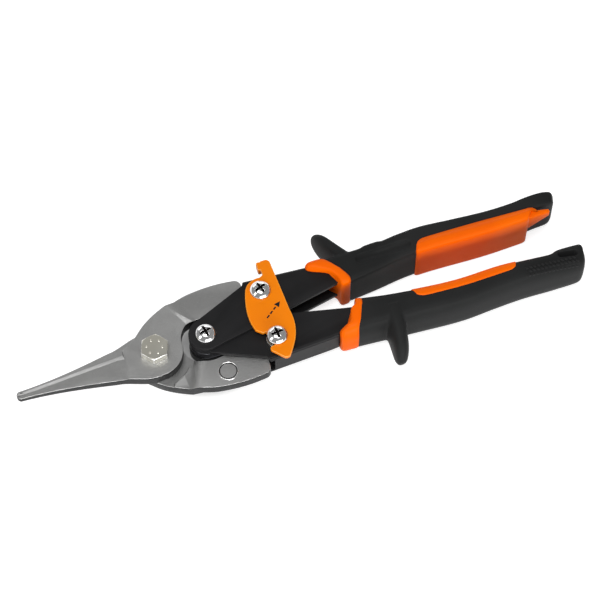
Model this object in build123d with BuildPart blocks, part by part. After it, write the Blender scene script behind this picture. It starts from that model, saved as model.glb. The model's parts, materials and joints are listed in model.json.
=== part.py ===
from build123d import *
import math
import os

# Compound-leverage aviation snips for straight cuts, nominal size 250 mm, closed and latched.
# Working plane "tool": X runs from the jaws to the handle ends, Y towards the upper handle and
# Z out of the front face. Its origin is the blade pivot, and z = 0 is the cutting plane.

# Reach from the blade pivot to each side of the closed tool, and half the grip thickness
jaw_reach = 60.0
grip_reach = 187.0
upper_guard_reach = 34.0
lower_guard_reach = 36.0
rest_depth = 10.5

# Linkage: blade pivot (0, 0), handle pivot on the centre line, and one tail joint on each side
handle_pivot_x = 22.2
joint_x = 50.0
joint_y = 11.25

# Blades
blade_thickness = 4.9
blade_gap = 0.1
boss_radius = 11.7
jaw_root_x = -14.0
jaw_root_height = 4.0
jaw_tip_height = 2.4
tail_height = 23.8
tail_end_x = 44.0
tail_hub_radius = 5.5
joggle_angle = 25.0
joggle_start = 17.5
joggle_end = 22.0
step_radius = 15.0
step_height = 0.45

# Handle channels
plate_thickness = 2.0
plate_gap = 0.1
tail_room = 3.1
ear_radius = 7.3
channel_height = 19.3
tang_end_x = 160.0
web_start_x = 46.4
web_bend_radius = 1.6

# Fasteners
bolt_radius = 3.5
bolt_across_flats = 11.0
bolt_head_height = 4.0
head_corner_drop = 3.2
nut_washer_thickness = 0.6
sleeve_radius = 3.0
screw_radius = 1.9
screw_head_radius = 4.55
screw_head_height = 3.0
screw_length = 12.0
recess_width = 1.1
recess_depth = 1.7
flange_radius = 4.6
flange_thickness = 2.2
catch_neck_radius = 2.0

# Latch
latch_thickness = 1.7
latch_washer_thickness = 0.45
latch_flange_depth = 4.0

# Spring
wire_radius = 0.9
coil_radius = 6.2
spring_leg_length = 17.5
spring_leg_fall = 0.7

# Grips
sleeve_wall = 1.5
sleeve_half_depth = 7.8
grip_edge_bevel = 2.5
collar_half_depth = 9.4
guard_half_depth = 9.5
hang_slot_length = 10.0
hang_slot_width = 4.6

# Clearances
running = 0.06
seat = 0.02
joint_slack = 0.3
inlay_gap = 0.05

origin = Vector((jaw_reach - grip_reach) / 2, (lower_guard_reach - upper_guard_reach) / 2, rest_depth)
tool = Plane(origin=origin)
long_axis = Axis(origin, (1, 0, 0))
pivot_at = (0, 0)
handle_at = (handle_pivot_x, 0)
upper_at = (joint_x, joint_y)
lower_at = (joint_x, -joint_y)

# Heights of the stacked plates, measured from the cutting plane. The lower channel is the upper
# one turned over, so its two plates lie just inside and just outside the upper one's plates.
channel_depth = blade_thickness + tail_room + 2 * plate_thickness
channel_top = (channel_depth + plate_thickness + plate_gap) / 2
channel_bottom = channel_top - channel_depth
blade_face = blade_gap / 2
blade_back = blade_face + blade_thickness
tail_top = blade_thickness / 2
front_inner = channel_top - plate_thickness
back_inner = channel_bottom + plate_thickness
latch_bottom = channel_top + latch_washer_thickness + inlay_gap
latch_top = latch_bottom + latch_thickness
high_head = latch_top + inlay_gap
low_head = channel_top + inlay_gap


def prism(outline, z_low, z_high, mode=Mode.ADD):
    """Add or cut a flat outline, drawn on the tool plane, between two heights."""
    extrude(tool.offset(z_low).location * outline, amount=z_high - z_low, mode=mode)


def disc(centre, radius, z_low, z_high, mode=Mode.ADD):
    """Add or cut a round disc, or a hole, between two heights."""
    with BuildSketch(Plane.XY) as outline:
        with Locations(centre):
            Circle(radius)
    prism(outline.sketch, z_low, z_high, mode)


def polygon(points):
    """Closed outline with straight sides."""
    with BuildSketch(Plane.XY) as outline:
        with BuildLine():
            Polyline(*points, close=True)
        make_face()
    return outline.sketch


def on_side(points, side):
    """The same points on the upper handle's side (1) or the lower handle's side (-1)."""
    return [(x, side * y) for x, y in points]


# ---------------------------------------------------------------- blades
# One forged blank serves both blades: a jaw, a round boss at the pivot and a tail that a joggle
# brings to the middle of the tool. Turned over about the long axis it is the other blade.
hub_foot = (joint_x, joint_y - tail_hub_radius)
hub_back = (joint_x + tail_hub_radius, joint_y)
hub_head = (joint_x - tail_hub_radius * 0.5, joint_y + tail_hub_radius * 0.866)
ear_clearance = 10.2
arc_top = (handle_pivot_x + 1.5, ear_clearance * 0.99)
arc_mid = (handle_pivot_x - ear_clearance * math.cos(0.7), ear_clearance * math.sin(0.7))
with BuildSketch(Plane.XY) as blade_outline:
    with BuildLine():
        ThreePointArc((-jaw_reach + 1.3, -2.5), (-jaw_reach, -0.7), (-jaw_reach + 1.3, 1.0))
        Line((-jaw_reach + 1.3, 1.0), (jaw_root_x, 4.5))
        Spline((jaw_root_x, 4.5), (-9.6, 6.2), (-2.5, 12.4), (9.0, 19.2), (20.0, 22.9))
        Spline((20.0, 22.9), (28.0, tail_height), (36.0, tail_height), (tail_end_x - 2.5, tail_height - 0.6))
        RadiusArc((tail_end_x - 2.5, tail_height - 0.6), (tail_end_x, tail_height - 3.4), 2.9)
        Polyline((tail_end_x, tail_height - 3.4), (tail_end_x + 0.3, hub_head[1] - 0.7), hub_head)
        ThreePointArc(hub_head, hub_back, hub_foot)
        Line(hub_foot, arc_top)
        ThreePointArc(arc_top, arc_mid, (boss_radius * math.cos(0.05), boss_radius * math.sin(0.05)))
        ThreePointArc((boss_radius * math.cos(0.05), boss_radius * math.sin(0.05)),
                      (boss_radius * 0.6, -boss_radius * 0.8), (0, -boss_radius))
        Spline((0, -boss_radius), (-7.0, -11.3), (jaw_root_x, -8.9), (-19.0, -7.8))
        Spline((-19.0, -7.8), (-29.0, -5.9), (-39.0, -4.3), (-jaw_reach + 1.3, -2.5))
    make_face()

joggle_x = Vector(math.cos(math.radians(joggle_angle)), math.sin(math.radians(joggle_angle)), 0)
side_view = Plane(origin=origin, x_dir=joggle_x, z_dir=joggle_x.cross(Vector(0, 0, 1)))
across_view = Plane(origin=origin, x_dir=(1, 0, 0), z_dir=(0, -1, 0))
underside_shift = (joggle_end - joggle_start) * 0.35

with BuildPart() as blade_blank:
    prism(blade_outline.sketch, -tail_top, blade_back)
    with BuildSketch(side_view) as blade_profile:
        with BuildLine():
            Polyline((-grip_reach, blade_back), (joggle_start, blade_back), (joggle_end, tail_top),
                     (grip_reach, tail_top), (grip_reach, -tail_top),
                     (joggle_end - underside_shift, -tail_top),
                     (joggle_start - underside_shift, blade_face), (-grip_reach, blade_face), close=True)
        make_face()
    extrude(amount=jaw_reach, both=True, mode=Mode.INTERSECT)
    # Outside the ground round face at the pivot, the mating side stands a little proud
    with BuildSketch(Plane.XY) as raised_step:
        add(blade_outline.sketch)
        with Locations((10, 17)):
            Rectangle(13, 16, rotation=joggle_angle, mode=Mode.INTERSECT)
        Circle(step_radius, mode=Mode.SUBTRACT)
    prism(raised_step.sketch, blade_face - step_height, blade_face + 1)
    # The back of the jaw is lower than the boss and falls towards the tip
    with BuildSketch(across_view) as jaw_relief:
        with BuildLine():
            Polyline((jaw_root_x + 1, blade_back), (jaw_root_x - 2, jaw_root_height),
                     (-jaw_reach - 1, jaw_tip_height), (-jaw_reach - 1, blade_back + 1),
                     (jaw_root_x + 1, blade_back + 1), close=True)
        make_face()
    extrude(amount=jaw_reach, both=True, mode=Mode.SUBTRACT)
    # Bevel from the back of the jaw down to the narrow land of the cutting edge
    for end_x, ridge_y, edge_y, ridge_z in ((-jaw_reach - 2, -1.0, 1.1, jaw_tip_height - 0.2),
                                            (jaw_root_x + 1, 0.6, 5.0, blade_back)):
        with BuildSketch(Plane(origin=origin + Vector(end_x, 0, 0), x_dir=(0, 1, 0), z_dir=(1, 0, 0))):
            with BuildLine():
                Polyline((ridge_y, ridge_z), (edge_y, 0.7), (edge_y + 4, 0.7), (edge_y + 4, ridge_z + 6),
                         (ridge_y, ridge_z + 6), close=True)
            make_face()
    loft(ruled=True, mode=Mode.SUBTRACT)
    disc(pivot_at, bolt_radius + running, -blade_back, blade_back + 1, Mode.SUBTRACT)

with BuildPart() as front_blade:
    add(blade_blank.part)
    disc(upper_at, sleeve_radius + joint_slack, -blade_back, blade_back, Mode.SUBTRACT)
    front_blade.part.label = "front_blade"

with BuildPart() as rear_blade:
    add(blade_blank.part.rotate(long_axis, 180))
    disc(lower_at, sleeve_radius + running, -blade_back, blade_back, Mode.SUBTRACT)
    rear_blade.part.label = "rear_blade"

# ---------------------------------------------------------------- blade pivot
nut_seat = -blade_back - nut_washer_thickness

with BuildPart() as bolt_head:
    with BuildSketch(Plane.XY) as hexagon:
        RegularPolygon(bolt_across_flats / 2, 6, major_radius=False, rotation=10)
    prism(hexagon.sketch, blade_back + seat, blade_back + bolt_head_height)
    # The head is turned to a cone above its flats, which takes off its top corners
    crown = blade_back + bolt_head_height
    with BuildSketch(across_view) as turned_section:
        with BuildLine():
            Polyline((0, 0), (bolt_across_flats, 0), (bolt_across_flats, crown - head_corner_drop),
                     (bolt_across_flats / 2, crown), (0, crown), close=True)
        make_face()
    revolve(turned_section.sketch, axis=Axis(origin, (0, 0, 1)), mode=Mode.INTERSECT)

with BuildPart() as pivot_bolt:
    add(bolt_head.part)
    disc(pivot_at, bolt_radius, -rest_depth + 0.3, blade_back + 1)
    pivot_bolt.part.label = "pivot_bolt"

with BuildPart() as pivot_washer:
    disc(pivot_at, bolt_across_flats / 2 + 0.6, nut_seat + seat, -blade_back - seat)
    disc(pivot_at, bolt_radius + running, nut_seat, -blade_back, Mode.SUBTRACT)
    pivot_washer.part.label = "pivot_washer"

with BuildPart() as pivot_nut:
    prism(hexagon.sketch, -rest_depth + 1.4, nut_seat)
    disc(pivot_at, bolt_across_flats / 2 - 0.5, -rest_depth, nut_seat)
    disc(pivot_at, bolt_radius + running, -rest_depth, nut_seat, Mode.SUBTRACT)
    pivot_nut.part.label = "pivot_nut"

# ---------------------------------------------------------------- handle channels
# A folded U section: two plates with round ears at the handle pivot and a web on the outer edge.
web_edge = [(44.5, channel_height), (72.0, 17.6), (88.0, 15.8), (tang_end_x, 15.4)]
plate_back_edge = [(tang_end_x, 10.6), (92.0, 7.6), (82.0, 5.6), (60.0, 0.8), (42.0, -3.4)]
ear_foot = (handle_pivot_x + 2.0, -ear_radius * 0.96)
ear_top = (handle_pivot_x - 2.6, ear_radius * 0.935)
with BuildSketch(Plane.XY) as channel_outline:
    with BuildLine():
        Polyline(ear_top, (43.6, 17.3), *web_edge)
        Polyline(web_edge[-1], *plate_back_edge, ear_foot)
        ThreePointArc(ear_foot, (handle_pivot_x - ear_radius, 0), ear_top)
    make_face()

inner_web_edge = [(x, y - plate_thickness) for x, y in web_edge]
cavity_outline = polygon([(0, 40), (web_start_x, 40), (web_start_x, inner_web_edge[0][1])]
                         + inner_web_edge[1:] + [(tang_end_x + 9, 16), (tang_end_x + 9, -20), (0, -20)])

with BuildPart() as upper_handle_channel:
    prism(channel_outline.sketch, channel_bottom, channel_top)
    web_edges = upper_handle_channel.edges().filter_by(
        lambda e: abs((e @ 0.5).Y - origin.Y - 17.2) < 2.4 and (e @ 0.5).X - origin.X > 50
        and abs((e % 0.5).Z) < 0.1)
    fillet(web_edges, web_bend_radius)
    prism(cavity_outline, back_inner, front_inner, Mode.SUBTRACT)
    for place in (handle_at, upper_at):
        disc(place, sleeve_radius + running, channel_bottom, channel_top, Mode.SUBTRACT)
    upper_handle_channel.part.label = "upper_handle_channel"

with BuildPart() as lower_handle_channel:
    add(upper_handle_channel.part.rotate(long_axis, 180))
    lower_handle_channel.part.label = "lower_handle_channel"


# ---------------------------------------------------------------- joint screws and sleeves
def joint_sleeve(centre, z_flange, z_end, name):
    """Flanged sleeve nut: the flange lies on the back plate and the screw threads into the barrel."""
    with BuildPart() as sleeve:
        disc(centre, flange_radius, z_flange - flange_thickness, z_flange - seat)
        chamfer(sleeve.faces().sort_by(Axis.Z)[0].edges(), 0.7)
        disc(centre, sleeve_radius, z_flange - flange_thickness + 0.5, z_end)
        disc(centre, screw_radius + running, z_end - screw_length - 1, z_end, Mode.SUBTRACT)
        sleeve.part.label = name
    return sleeve.part


def pan_screw(centre, z_seat, z_neck, turn, name):
    """Pan-head screw with a cross recess; between the two heights it has a thicker neck."""
    with BuildPart() as screw:
        with BuildSketch(Plane.XZ) as half_head:
            with BuildLine():
                Line((0, z_seat), (screw_head_radius, z_seat))
                Line((screw_head_radius, z_seat), (screw_head_radius, z_seat + 0.6))
                ThreePointArc((screw_head_radius, z_seat + 0.6),
                              (screw_head_radius * 0.66, z_seat + screw_head_height * 0.8),
                              (0, z_seat + screw_head_height))
                Line((0, z_seat + screw_head_height), (0, z_seat))
            make_face()
        revolve(tool.location * Location((centre[0], centre[1], 0)) * half_head.sketch,
                axis=Axis(origin + Vector(centre[0], centre[1], 0), (0, 0, 1)))
        with BuildSketch(Plane.XY) as cross:
            with Locations(Location((centre[0], centre[1], 0), turn)):
                Rectangle(screw_head_radius * 1.1, recess_width)
                Rectangle(recess_width, screw_head_radius * 1.1)
        crown = z_seat + screw_head_height
        prism(cross.sketch, crown - recess_depth, crown + 1, Mode.SUBTRACT)
        disc(centre, screw_radius, z_neck - screw_length, z_seat + 0.5)
        if z_neck < z_seat:
            disc(centre, catch_neck_radius, z_neck + seat, z_seat + 0.5)
        screw.part.label = name
    return screw.part


handle_pivot_sleeve = joint_sleeve(handle_at, -channel_top, low_head - seat, "handle_pivot_sleeve")
handle_pivot_screw = pan_screw(handle_at, low_head, low_head, 12, "handle_pivot_screw")
latch_pivot_sleeve = joint_sleeve(upper_at, channel_bottom, high_head - seat, "latch_pivot_sleeve")
latch_pivot_screw = pan_screw(upper_at, high_head, high_head, 20, "latch_pivot_screw")
catch_sleeve = joint_sleeve(lower_at, -channel_top, channel_top - seat, "catch_sleeve")
catch_screw = pan_screw(lower_at, high_head, channel_top, 5, "catch_screw")


# ---------------------------------------------------------------- washers and spacers
def washers(centre, heights, name):
    """Plain rings round a joint sleeve, one between each pair of heights."""
    with BuildPart() as ring:
        for z_low, z_high in heights:
            disc(centre, flange_radius, z_low + inlay_gap, z_high - inlay_gap)
        disc(centre, sleeve_radius + running, -rest_depth, rest_depth, Mode.SUBTRACT)
        ring.part.label = name
    return ring.part


upper_gaps = [(tail_top, front_inner), (back_inner, -tail_top)]
lower_gaps = [(tail_top, -back_inner), (-front_inner, -tail_top)]
upper_tail_spacers = washers(upper_at, upper_gaps, "upper_tail_spacers")
lower_tail_spacers = washers(lower_at, lower_gaps, "lower_tail_spacers")
latch_washer = washers(upper_at, [(channel_top, latch_bottom)], "latch_washer")
catch_collar = washers(lower_at, [(-channel_bottom, channel_top)], "catch_collar")

# ---------------------------------------------------------------- latch
catch_opening = catch_neck_radius + 0.9
with BuildSketch(Plane.XY) as latch_outline:
    with BuildLine():
        # tab and the right-hand edge down to the hook
        Polyline((53.2, 18.4), (53.2, 23.8), (54.2, 25.0), (57.0, 25.0), (58.1, 23.8), (58.9, -2.0))
        Spline((58.9, -2.0), (58.7, -9.0), (57.4, -13.4), (55.4, -17.2), (52.6, -21.4))
        # rounded tip and the hook's lower lip
        RadiusArc((52.6, -21.4), (49.6, -21.6), 2.0)
        Polyline((49.6, -21.6), (46.0, -17.6))
        RadiusArc((46.0, -17.6), (46.4, -15.2), 1.35)
        Polyline((46.4, -15.2), (48.6, -14.9), (50.6, -joint_y - catch_opening))
        ThreePointArc((50.6, -joint_y - catch_opening), (joint_x + catch_opening, -joint_y),
                      (50.2, -joint_y + catch_opening))
        Polyline((50.2, -joint_y + catch_opening), (44.6, -8.2), (42.3, -6.2))
        Spline((42.3, -6.2), (41.3, -1.0), (41.8, 6.0), (43.6, 12.6))
        ThreePointArc((43.6, 12.6), (47.4, 16.9), (51.6, 17.5))
        Line((51.6, 17.5), (53.2, 18.4))
    make_face()

with BuildPart() as latch_plate:
    prism(latch_outline.sketch, latch_bottom, latch_top)
    with BuildSketch(Plane.XY) as thumb_flange:
        with Locations((53.0, 22.8)):
            RectangleRounded(1.8, 4.0, 0.7)
    prism(thumb_flange.sketch, latch_top - latch_thickness - latch_flange_depth + 1.7, latch_top)
    disc(upper_at, sleeve_radius + running, latch_bottom, latch_top, Mode.SUBTRACT)
    latch_plate.part.label = "latch_plate"

# ---------------------------------------------------------------- torsion spring
# The close-wound coil is one grooved ring; its two legs reach along the inner edges of the tails.
with BuildPart() as torsion_spring:
    with BuildSketch(across_view) as coil_section:
        for turn in (-1, 0, 1):
            with Locations((handle_pivot_x + coil_radius, turn * wire_radius * 1.94)):
                Circle(wire_radius)
        with Locations((handle_pivot_x + coil_radius, 0)):
            Rectangle(wire_radius * 1.4, wire_radius * 5.2)
    revolve(coil_section.sketch, axis=Axis(origin + Vector(handle_pivot_x, 0, 0), (0, 0, 1)))
    for side in (1, -1):
        start = origin + Vector(handle_pivot_x - 1, side * coil_radius, side * wire_radius * 1.94)
        toward = Vector(spring_leg_length, -side * spring_leg_fall, 0)
        with BuildSketch(Plane(origin=start, z_dir=toward)) as leg_section:
            Circle(wire_radius - 0.05)
        extrude(leg_section.sketch, amount=spring_leg_length + 1)
    torsion_spring.part.label = "torsion_spring"

# ---------------------------------------------------------------- grips
# Each grip is a hard core, which grips the tang, shows as a collar in front and as an inlay, and
# a soft cover around it with a finger guard. Outlines are for the upper grip, mirrored below.
upper_inner_edge = [(112.0, 7.0), (130.0, 8.0), (150.0, 7.6), (166.0, 8.2)]
upper_tail_edge = [(169.0, 11.4), (180.0, 12.2)]
upper_outer_edge = [(184.0, 16.4), (180.6, 19.2), (152.0, 18.4), (124.0, 20.1), (100.0, 19.0),
                    (84.0, 18.4)]
lower_inner_edge = [(112.0, 8.6), (130.0, 9.6), (150.0, 9.3), (172.0, 10.3)]
lower_lug_edge = [(175.0, 9.2), (grip_reach - 3.0, 9.2)]
lower_outer_edge = [(grip_reach, 12.2), (grip_reach - 4.0, 20.2), (155.0, 20.4), (128.0, 22.0),
                    (102.0, 21.1), (82.0, 19.8)]
grip_mouth = (86.6, 4.2)
upper_window = [(114.0, 0.0), (118.0, 11.5), (121.0, 13.6), (174.0, 13.6), (167.5, 0.0)]
lower_window = [(109.5, 0.0), (113.0, 12.8), (154.5, 12.6), (158.5, 0.0)]
upper_collar = [(86.4, 3.2), (89.6, 3.2), (83.6, 18.9), (72.6, 18.7), (77.4, 15.0), (81.0, 12.8)]
lower_collar = [(86.4, 4.0), (89.6, 4.0), (83.6, 20.2), (72.6, 19.9), (77.4, 15.2), (81.0, 13.2)]


def grip_outline(side, inner_edge, end_edge, outer_edge):
    """Plan of a whole grip: a curved inner edge, a short end and a curved outer edge."""
    inner = on_side([grip_mouth] + inner_edge, side)
    end = on_side([inner_edge[-1]] + end_edge + [outer_edge[0]], side)
    outer = on_side(outer_edge, side)
    with BuildSketch(Plane.XY) as outline:
        with BuildLine():
            Spline(*inner)
            Polyline(*end)
            Spline(*outer)
            Line(outer[-1], inner[0])
        make_face()
    return outline.sketch


def grown_tang(side, growth, x_low, x_high):
    """Plan of the tang inside a grip, grown by a margin and cut to a length."""
    with BuildSketch(Plane.XY) as outline:
        add(channel_outline.sketch)
        if side < 0:
            mirror(about=Plane.XZ, mode=Mode.REPLACE)
        if growth > 0:
            offset(amount=growth, kind=Kind.INTERSECTION)
        with Locations(((x_low + x_high) / 2, 0)):
            Rectangle(x_high - x_low, 80, mode=Mode.INTERSECT)
    return outline.sketch


def soft_blank(outline):
    """Solid of a whole grip with a bevelled rim on both faces."""
    with BuildPart() as blank:
        prism(outline, -rest_depth, rest_depth)
        chamfer(blank.faces().filter_by(Axis.Z).edges(), grip_edge_bevel)
    return blank.part


def grip_core(side, blank, window, collar, name):
    """Hard core: inlay, sleeve round the tang and slanted collar."""
    z_shift = side * (channel_top + channel_bottom) / 2
    with BuildPart() as core:
        add(blank)
        prism(polygon(on_side(window, side)), -rest_depth, rest_depth, Mode.INTERSECT)
        prism(grown_tang(side, sleeve_wall, 79.0, tang_end_x + 4), -sleeve_half_depth, sleeve_half_depth)
        prism(polygon(on_side(collar, side)), -collar_half_depth, collar_half_depth)
        half = channel_depth / 2 + running
        prism(grown_tang(side, running, 60.0, tang_end_x + 1), z_shift - half, z_shift + half,
              Mode.SUBTRACT)
        core.part.label = name
    return core.part


def guard_tongue(side, root_x, tip_x, reach):
    """Finger guard: a leaning tongue with a round tip, standing on the grip's outer edge."""
    with BuildPart() as tongue:
        lean = [(root_x - 5.0, 16.0), (root_x - 3.6, 21.5), (tip_x - 1.6, reach - 1.2),
                (tip_x - 0.4, reach), (tip_x + 1.2, reach), (tip_x + 2.2, reach - 1.4),
                (root_x + 2.4, 21.5), (root_x + 5.0, 16.0)]
        prism(polygon(on_side(lean, side)), -guard_half_depth, guard_half_depth)
        with BuildSketch(Plane(origin=origin, x_dir=(0, side, 0), z_dir=(side, 0, 0))) as front_view:
            with BuildLine():
                Line((10, -guard_half_depth), (21, -guard_half_depth))
                ThreePointArc((21, -guard_half_depth), (reach, 0), (21, guard_half_depth))
                Polyline((21, guard_half_depth), (10, guard_half_depth), (10, -guard_half_depth))
            make_face()
        extrude(amount=grip_reach, both=True, mode=Mode.INTERSECT)
    return tongue.part


def grip_cover(side, blank, window, collar, tongue, name):
    """Soft cover: the rest of the grip, open round the core, with its finger guard."""
    with BuildPart() as cover:
        add(blank)
        add(tongue)
        prism(polygon(on_side(collar, side)), -rest_depth, rest_depth, Mode.SUBTRACT)
        gap_window = Plane.XY.location * offset(polygon(on_side(window, side)), amount=inlay_gap,
                                                mode=Mode.PRIVATE)
        prism(gap_window, -rest_depth - 1, rest_depth + 1, Mode.SUBTRACT)
        half = sleeve_half_depth + inlay_gap
        prism(grown_tang(side, sleeve_wall + inlay_gap, 60.0, tang_end_x + 4 + inlay_gap), -half, half,
              Mode.SUBTRACT)
        if side < 0:
            with BuildSketch(Plane.XY) as hang_slot:
                with Locations(Location((grip_reach - 7.6, -12.3, 0), -8)):
                    SlotOverall(hang_slot_length, hang_slot_width)
            prism(hang_slot.sketch, -rest_depth - 1, rest_depth + 1, Mode.SUBTRACT)
        cover.part.label = name
    return cover.part


upper_blank = soft_blank(grip_outline(1, upper_inner_edge, upper_tail_edge, upper_outer_edge))
lower_blank = soft_blank(grip_outline(-1, lower_inner_edge, lower_lug_edge, lower_outer_edge))
upper_tongue = guard_tongue(1, 89.0, 80.8, upper_guard_reach)
lower_tongue = guard_tongue(-1, 98.5, 96.0, lower_guard_reach)
upper_grip_core = grip_core(1, upper_blank, upper_window, upper_collar, "upper_grip_core")
lower_grip_core = grip_core(-1, lower_blank, lower_window, lower_collar, "lower_grip_core")
upper_grip_cover = grip_cover(1, upper_blank, upper_window, upper_collar, upper_tongue,
                              "upper_grip_cover")
lower_grip_cover = grip_cover(-1, lower_blank, lower_window, lower_collar, lower_tongue,
                              "lower_grip_cover")

# ---------------------------------------------------------------- files
pieces = [front_blade.part, rear_blade.part, pivot_bolt.part, pivot_washer.part, pivot_nut.part,
          upper_handle_channel.part, lower_handle_channel.part, handle_pivot_sleeve,
          handle_pivot_screw, latch_pivot_sleeve, latch_pivot_screw, catch_sleeve, catch_screw,
          upper_tail_spacers, lower_tail_spacers, latch_washer, catch_collar, latch_plate.part,
          torsion_spring.part, upper_grip_core, lower_grip_core, upper_grip_cover, lower_grip_cover]
os.makedirs("parts", exist_ok=True)
for piece in pieces:
    export_step(piece, f"parts/{piece.label}.step")
whole = Compound(children=pieces).bounding_box()
print("pieces", len(pieces), "box", whole.min, whole.max)
for title, place in (("blade pivot", pivot_at), ("handle pivot", handle_at),
                     ("upper tail joint", upper_at), ("lower tail joint", lower_at)):
    print(title, round(origin.X + place[0], 3), round(origin.Y + place[1], 3), origin.Z)
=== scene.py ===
# %% [markdown]
# Aviation snips, closed and latched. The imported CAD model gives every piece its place. This script
# gives the pieces their finish, and builds the grips and the spring again as finer meshes. Loading
# the frame first means that no piece has to be fitted afterwards.

# %% Load the frame
import bmesh
import bpy
import json
import math
from mathutils import Matrix, Vector


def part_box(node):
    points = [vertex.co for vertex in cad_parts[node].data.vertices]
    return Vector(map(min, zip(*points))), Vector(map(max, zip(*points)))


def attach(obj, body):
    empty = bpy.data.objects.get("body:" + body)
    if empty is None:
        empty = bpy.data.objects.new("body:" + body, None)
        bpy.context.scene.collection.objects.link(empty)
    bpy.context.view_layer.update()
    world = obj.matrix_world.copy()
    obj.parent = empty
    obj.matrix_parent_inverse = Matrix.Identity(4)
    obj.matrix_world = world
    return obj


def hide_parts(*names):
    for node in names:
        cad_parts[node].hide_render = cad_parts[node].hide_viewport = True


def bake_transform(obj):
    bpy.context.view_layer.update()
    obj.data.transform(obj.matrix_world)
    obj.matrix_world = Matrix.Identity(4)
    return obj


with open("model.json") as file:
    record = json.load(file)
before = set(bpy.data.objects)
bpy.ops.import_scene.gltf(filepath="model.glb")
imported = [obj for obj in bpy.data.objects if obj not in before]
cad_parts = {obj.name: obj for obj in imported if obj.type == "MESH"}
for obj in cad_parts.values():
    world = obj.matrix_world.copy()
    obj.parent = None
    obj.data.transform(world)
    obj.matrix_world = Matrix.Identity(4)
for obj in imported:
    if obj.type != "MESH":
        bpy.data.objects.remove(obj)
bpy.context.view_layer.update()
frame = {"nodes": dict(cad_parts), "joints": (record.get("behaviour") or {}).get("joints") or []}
nodes = frame["nodes"]
joint_at = {joint["name"]: Vector(joint["pos_m"]) for joint in frame["joints"]}
pivot = joint_at["blade_pivot"]
MM = 0.001
print("nodes", len(nodes), "blade pivot", tuple(pivot))


# %% [markdown]
# A toolmaker measures from the blade pivot: X towards the handle ends, Y towards the upper handle
# and Z out of the front face. One helper turns such a place in millimetres into metres.

# %% A place on the tool
def place(x, y, z):
    """A point given in millimetres from the blade pivot, in the frame's metres."""
    return pivot + Vector((x, y, z)) * MM


def mesh_piece(name, mesh, body):
    """Link a finished mesh as a piece; a cutter or the spring is given no body and stays unattached."""
    piece = bpy.data.objects.new(name, mesh)
    bpy.context.scene.collection.objects.link(piece)
    if body:
        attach(piece, body)
    return piece


def smooth(mesh):
    """Shade all faces of a mesh smooth."""
    mesh.polygons.foreach_set("use_smooth", [True] * len(mesh.polygons))
    mesh.update()


def paint(mesh, material):
    """Give a mesh one material and nothing else."""
    mesh.materials.clear()
    mesh.materials.append(material)


def evaluated_mesh(thing):
    """The mesh of an object with its modifiers, or its curve, worked out."""
    bpy.context.view_layer.update()
    return bpy.data.meshes.new_from_object(thing.evaluated_get(bpy.context.evaluated_depsgraph_get()))


handle_pivot = joint_at["handle_open"]
print("handle pivot from blade pivot", [round(v / MM, 2) for v in handle_pivot - pivot])

# %% [markdown]
# The tool lies on a plain white table and is seen from in front and well above, through a long lens
# that keeps its two handles nearly parallel. Distance and lens are the values that give that view.

# %% Camera
camera_azimuth = math.radians(-18.6)
camera_elevation = math.radians(61.0)
aim = place(65.96, 6.5, 0.0)
camera_distance = 0.9103
look_back = Vector((math.sin(camera_azimuth) * math.cos(camera_elevation),
                    -math.cos(camera_azimuth) * math.cos(camera_elevation), math.sin(camera_elevation)))
camera_data = bpy.data.cameras.new("camera")
camera_data.lens = 128.5
camera_data.sensor_width = 36.0
camera_data.clip_start = 0.01
camera = bpy.data.objects.new("camera", camera_data)
camera.location = aim + look_back * camera_distance
camera.rotation_euler = look_back.to_track_quat("Z", "Y").to_euler()
bpy.context.scene.collection.objects.link(camera)
bpy.context.scene.camera = camera
bpy.context.scene.view_settings.view_transform = "Standard"
print("camera at", [round(v, 4) for v in camera.location])

# %% [markdown]
# Shiny screws and ground steel show what stands round them, so the light comes from large soft
# panels, as in a product studio: one above, one behind, one in front and a narrow one on the left.
# The world adds a weak even light, so that no side of the tool goes black.

# %% Lights
def soft_panel(name, spot, size, watts):
    """A rectangular area lamp at a place in metres, turned to the tool."""
    lamp = bpy.data.lights.new(name, "AREA")
    lamp.shape = "RECTANGLE"
    lamp.size, lamp.size_y = size
    lamp.energy = watts
    holder = bpy.data.objects.new(name, lamp)
    holder.location = spot
    holder.rotation_euler = (Vector(spot) - aim).to_track_quat("Z", "Y").to_euler()
    bpy.context.scene.collection.objects.link(holder)


soft_panel("overhead_panel", (-0.15, -0.2, 0.95), (0.6, 0.35), 4.6)
soft_panel("back_panel", (0.08, 0.78, 0.30), (1.35, 0.34), 2.4)
soft_panel("left_strip", (-0.75, -0.15, 0.4), (0.22, 0.5), 1.0)
soft_panel("front_panel", (0.05, -0.8, 0.2), (0.8, 0.3), 5.0)

world = bpy.data.worlds.new("studio")
world.use_nodes = True
bpy.context.scene.world = world
sky = world.node_tree.nodes["Background"]
sky.inputs["Color"].default_value = (1.0, 1.0, 1.0, 1.0)
sky.inputs["Strength"].default_value = 0.32
print("lamps", len(bpy.data.lights))

# %% [markdown]
# The tool needs something to lie on and to throw its shadow on. A flat square, a fifth of a
# millimetre below the grips, is enough.

# %% Table
half_side = 6.0
table_drop = 0.2 * MM
table_mesh = bpy.data.meshes.new("table")
table_mesh.from_pydata([(-half_side, -half_side, 0), (half_side, -half_side, 0),
                        (half_side, half_side, 0), (-half_side, half_side, 0)], [], [(0, 1, 2, 3)])
table = bpy.data.objects.new("table", table_mesh)
table.location.z = -table_drop
bpy.context.scene.collection.objects.link(table)
print("table side in metres", 2 * half_side)

# %% [markdown]
# Every material below is a tree of nodes. Four small helpers keep those trees short: one sets or
# links a socket, and the others make a math node, a ramp from 0 to 1, and a mix of two values.

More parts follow.
